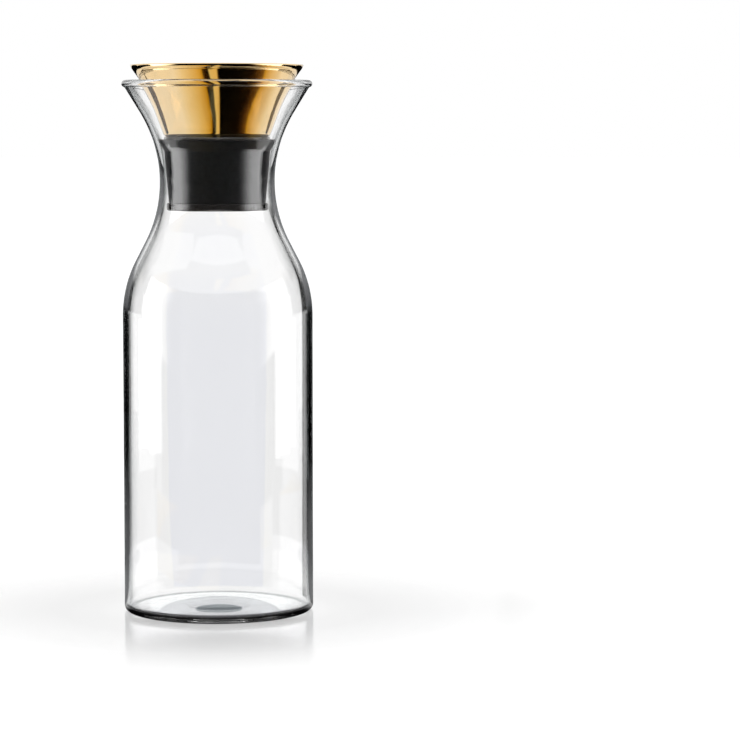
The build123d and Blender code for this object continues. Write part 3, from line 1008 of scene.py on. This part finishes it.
# %% The disc, the ring and the mark
FOOT_CARD_RADIUS, MARK_RADIUS, MARK_LEVEL, MARK_HEIGHT = 60.0, 13.6, 16.6, 3.4
RING_RADIUS, RING_LEVEL, RING_HEIGHT, RING_GAP = 33.0, 15.4, 8.0, 1.2
BLUR, DISC_TOP, BAND_BOTTOM, BAND_TOP, FOOT_GLOW = 0.3, 22.4, 23.6, 60, 1.9
OUTSIDE_TONE, LINE_TONE, DISC_TONE, MARK_TONE = WHITE, "#a8a8ac", "#d2d2d5", "#5c646a"
BAND_TONE = "#484849"


def half_ellipse(across, radius, height):
    """The height of an ellipse at distances across, nothing beyond its radius."""
    return height * np.sqrt(np.clip(1 - (across / radius) ** 2, 0, 1))


azimuths = spread(122, 262, 80)
across = FOOT_CARD_RADIUS * np.sin(np.radians(azimuths - 180 - CAMERA_AZIMUTH))
mark = half_ellipse(across, MARK_RADIUS, MARK_HEIGHT)
low, high = MARK_LEVEL - mark, MARK_LEVEL + mark
ring = RING_LEVEL - half_ellipse(across, RING_RADIUS, RING_HEIGHT)
ring = np.minimum(ring, low - RING_GAP)
mark_tones = np.where(mark > 0, MARK_TONE, DISC_TONE).tolist()
foot_rows = [
    (0, OUTSIDE_TONE),
    (ring - BLUR, OUTSIDE_TONE),
    (ring, LINE_TONE),
    (ring + BLUR, DISC_TONE),
    (low - BLUR, DISC_TONE),
    (low, mark_tones),
    (high, mark_tones),
    (high + BLUR, DISC_TONE),
    (DISC_TOP, DISC_TONE),
    (BAND_BOTTOM, BAND_TONE),
    (BAND_TOP, BAND_TONE),
]
levels, tones = zip(*foot_rows)
tones = [[tone] * len(azimuths) if isinstance(tone, str) else tone for tone in tones]
foot_face = card("card_foot_face", REFLECTED, BEYOND, toned=True, strength=FOOT_GLOW)
shaded("card_foot", upright(FOOT_CARD_RADIUS, azimuths, levels), tones, foot_face)

# %% The shade behind and under the foot
HEEL_RADII, HEEL_LEVEL, HEEL_TOP, UNDER_RADII, UNDER_LEVEL = (47, 58), 0.6, 40, (1, 44), 0.05
azimuths = spread(140, 226, 30)
rows = lying(HEEL_RADII, azimuths, HEEL_LEVEL)
rows += upright(HEEL_RADII[1], azimuths, (HEEL_TOP,))
panel("card_rim", rows, card("card_rim_face", passed=IN_THE_HEEL))
under_face = card("card_under_foot_face", REFLECTED, IN_THE_WALL)
panel("card_under_foot", lying(UNDER_RADII, spread(0, 360, 49), UNDER_LEVEL), under_face)

# %% [markdown]
# ### Cards that shine: the highlights
# The photograph's soft boxes show as long bright stripes on the glass, the gold and the
# sleeve. Each stripe is a card brighter than white, whose tone falls to black towards the
# front as the light of a real soft box does. The low pair is cut along the line where the
# glass would mirror it over the sleeve.


# %% Shining cards
def finer(columns, step=4.0):
    """The same columns with more of them between, so that a bent sheet looks round."""
    azimuths, tones = zip(*columns)
    counts = np.maximum(np.round(np.diff(azimuths) / step), 1)
    places = np.interp(np.arange(counts.sum() + 1), np.append(0, np.cumsum(counts)), azimuths)
    levels = np.array([[int(tone[i : i + 2], 16) for i in (1, 3, 5)] for tone in tones])
    mixed = [np.interp(places, azimuths, level).round().astype(int) for level in levels.T]
    return [(place, "#%02x%02x%02x" % tuple(tone)) for place, *tone in zip(places, *mixed)]


SHINE, SHINE_FAR, SHINE_NEAR = 3.2, 680, 300
LOW_LEVELS, HIGH_LEVELS, STRIPE_LEVELS, LOW_STRIPE_TOP = (5, 110), (180, 450), (150, 213), 150
LIP_TURNS, LIP_LINE = (44, 60, 76, 91, 99), (97, 106, 118, 132, 140)
fade_left = [(-74, WHITE), (-61, "#b3b3b3"), (-49, BLACK)]
fade_right = [(45, BLACK), (52, "#505050"), (60, "#a0a0a0"), (69, "#e7e7e7")]
left = [(-97, WHITE)] + fade_left
right = fade_right + [(77, "#f8f8f8"), (99, "#f8f8f8")]
low_left = [(-106, WHITE), (-79, WHITE)]
low_right = [(84.5, "#f8f8f8"), (108, "#f8f8f8")]
shining = card("box_face", REFLECTED, toned=True, strength=SHINE)
stripes = [
    ("box_low_left", SHINE_FAR, low_left, LOW_LEVELS),
    ("box_low_right", SHINE_FAR, low_right, LOW_LEVELS),
    ("box_high_left", SHINE_FAR, left, HIGH_LEVELS),
    ("box_high_right", SHINE_FAR, right, HIGH_LEVELS),
    ("strip_left", SHINE_NEAR, left, STRIPE_LEVELS),
    ("strip_right", SHINE_NEAR, right, STRIPE_LEVELS),
]
for name, radius, columns, levels in stripes:
    by_column(name, radius, finer(columns), levels, shining)

shining_outside = card("strip_face", REFLECTED, OUTSIDE, toned=True, strength=SHINE)
low_stripes = {
    "strip_low_left": [(-93, WHITE)] + fade_left,
    "strip_low_right": fade_right + [(97, WHITE)],
}
for name, columns in low_stripes.items():
    columns = finer(columns)
    turns = np.abs([azimuth for azimuth, _ in columns])
    levels = (np.interp(turns, LIP_TURNS, LIP_LINE), LOW_STRIPE_TOP)
    by_column(name, SHINE_NEAR, columns, levels, shining_outside)

# %% [markdown]
# ### Cards in front
# The front of a studio is dark. Large black cards, one upright and one on the floor, keep
# the middle of the glass and of the sleeve free of pale reflections. Lower ones stand
# closer, in front of the foot, and white ones beside them keep the foot's sides bright.
# A small black patch hangs where only the gold above the lip mirrors it.

# %% Front cards
FRONT_RADIUS, FRONT_TURNS, FRONT_TOP, FRONT_FLOOR_LEVEL = 1900, (-79, 85), 940, 2.0
LOW_RADIUS, LOW_LEFT, LOW_RIGHT, LOW_SPLIT, LOW_TOP = 110, -63.6, 67.5, 22, 60
LOW_WHITE_LEVELS = (3, 52)
START_TURNS, START_RADII = (-70, -62, 70, 80), (470, 340, 340, 470)
PATCH_LEVEL, PATCH_NEAR, PATCH_FAR = 100, [(-33, -56), (-9, -58)], [(-44, -95), (-12, -100)]

panel("card_front", upright(FRONT_RADIUS, spread(*FRONT_TURNS), (0, FRONT_TOP)), black)
azimuths = spread(*FRONT_TURNS, 30)
start = np.interp(azimuths, START_TURNS, START_RADII)[:, None]
panel("card_front_floor", lying((start, FRONT_RADIUS), azimuths, FRONT_FLOOR_LEVEL), black)
azimuths = spread(LOW_LEFT, LOW_RIGHT)
panel("card_front_low", upright(LOW_RADIUS, azimuths, (LOW_SPLIT, LOW_TOP)), black)
panel("card_front_lowest", upright(LOW_RADIUS, azimuths, (0, LOW_SPLIT)), black_inside)
for name, azimuths in pair("card_low", (-100, LOW_LEFT), (LOW_RIGHT, 110)):
    panel(name, upright(LOW_RADIUS, azimuths, LOW_WHITE_LEVELS), white_outside)
panel("card_overlay", [row(PATCH_NEAR, PATCH_LEVEL), row(PATCH_FAR, PATCH_LEVEL)], black_outside)

# %% [markdown]
# ### The card that the funnel's side mirrors
# The gold's side leans out, so it mirrors the floor in front of it. The photograph shows
# there, from left to right, a pale side, a brown edge, a black band, a pale band, another
# black band and a brown fade. The card is drawn backwards: each edge is read off the
# photograph at five rows, and the mirror's law tells where on the floor that tone lies.

# %% Where the mirror looks
RAY_START, RAY_END, RAY_STEP = 1340, 1520, 0.05


def landing(columns, picture_row):
    """Where the funnel's side sends the rays of some picture columns in one row.

    A ray meets the side where its distance from the axis falls to the side's radius. It
    turns by twice its part along the side's normal, and runs on down to the floor.
    """
    tilt = math.radians(TILT)
    ahead = np.array((0, math.cos(tilt), -math.sin(tilt)))
    up = np.array((0, math.sin(tilt), math.cos(tilt)))
    right = np.outer(np.asarray(columns) - IMAGE_SIDE / 2, (1, 0, 0)) / FOCAL_PIXELS
    way = right + ahead - (picture_row - IMAGE_SIDE / 2) / FOCAL_PIXELS * up
    way /= np.linalg.norm(way, axis=1, keepdims=True)
    points = EYE + way[:, None] * np.arange(RAY_START, RAY_END, RAY_STEP)[:, None]
    radius = np.interp(points[:, :, 2], side_height, side_radius)
    first = np.argmax(np.hypot(points[:, :, 0], points[:, :, 1]) < radius, axis=1)
    points = points[np.arange(len(points)), first]
    lean = np.interp(points[:, 2], side_height, side_lean)
    around = points[:, :2] / np.linalg.norm(points[:, :2], axis=1, keepdims=True)
    normal = np.column_stack((around * np.cos(lean)[:, None], -np.sin(lean)))
    back = way - 2 * (way * normal).sum(1, keepdims=True) * normal
    return (points - back * points[:, 2:] / back[:, 2:])[:, :2]


# %% The mirrored card
# The first and the last row are moved a little past what the funnel mirrors.
MIRRORED_LEVEL, PICTURE_ROWS, END_SHARES = 3.0, (69, 78, 90, 104, 126), (0.95, 1, 1, 1, 1.08)
tone_edges = [  # tone, and its column in each of the picture rows
    (WHITE, 172.6, 174, 177.5, 180.5, 185.7),
    ("#f6e8c4", 181.8, 184, 187.5, 190.5, 195.3),
    ("#ead296", 189.6, 192, 195.5, 198.5, 203),
    ("#e1bc5f", 196.5, 199, 202.5, 205.5, 209.8),
    ("#c99c27", 199.8, 202.6, 206.3, 209.1, 213.4),
    ("#3a2a10", 201.7, 204, 207.6, 210.5, 214.6),
    (BLACK, 202.6, 205, 208.4, 211, 215),
    (BLACK, 206.4, 209.5, 213, 214.3, 216.7),
    ("#eeda98", 207.5, 210.5, 214, 215.3, 217.7),
    ("#e8cc80", 215.9, 217, 218.5, 219, 219.1),
    (BLACK, 217, 218, 219.5, 220, 220.1),
    ("#0a0804", 244.7, 241.5, 237.5, 230.5, 222.8),
    ("#120b04", 256.4, 253.5, 249.5, 242.5, 234.4),
    ("#3a2510", 260.2, 257.5, 253.5, 246.5, 238.2),
    ("#70501c", 264.2, 261.5, 257.5, 250.5, 242.1),
    ("#d0a73b", 266.1, 263.5, 259.5, 252.5, 244),
    ("#ebd29f", 272, 269.5, 265.5, 258.5, 249.7),
    (WHITE, 281.9, 279.5, 275.5, 268.5, 259.4),
]
tones, *columns = zip(*tone_edges)
rows = [
    row(share * landing(column, picture_row), MIRRORED_LEVEL)
    for column, picture_row, share in zip(columns, PICTURE_ROWS, END_SHARES)
]
shaded("card_funnel", rows, [tones] * len(rows), toned)

# %% [markdown]
# ## How far light is followed
# A ray crosses four glass surfaces before it is out of the carafe, and in the edges of
# the wall it bounces many times, so more bounces than usual are allowed.

# %% Light paths
scene.cycles.max_bounces = 24
scene.cycles.transmission_bounces = 24
scene.cycles.glossy_bounces = 12
scene.cycles.transparent_max_bounces = 24
scene.cycles.use_denoising = True
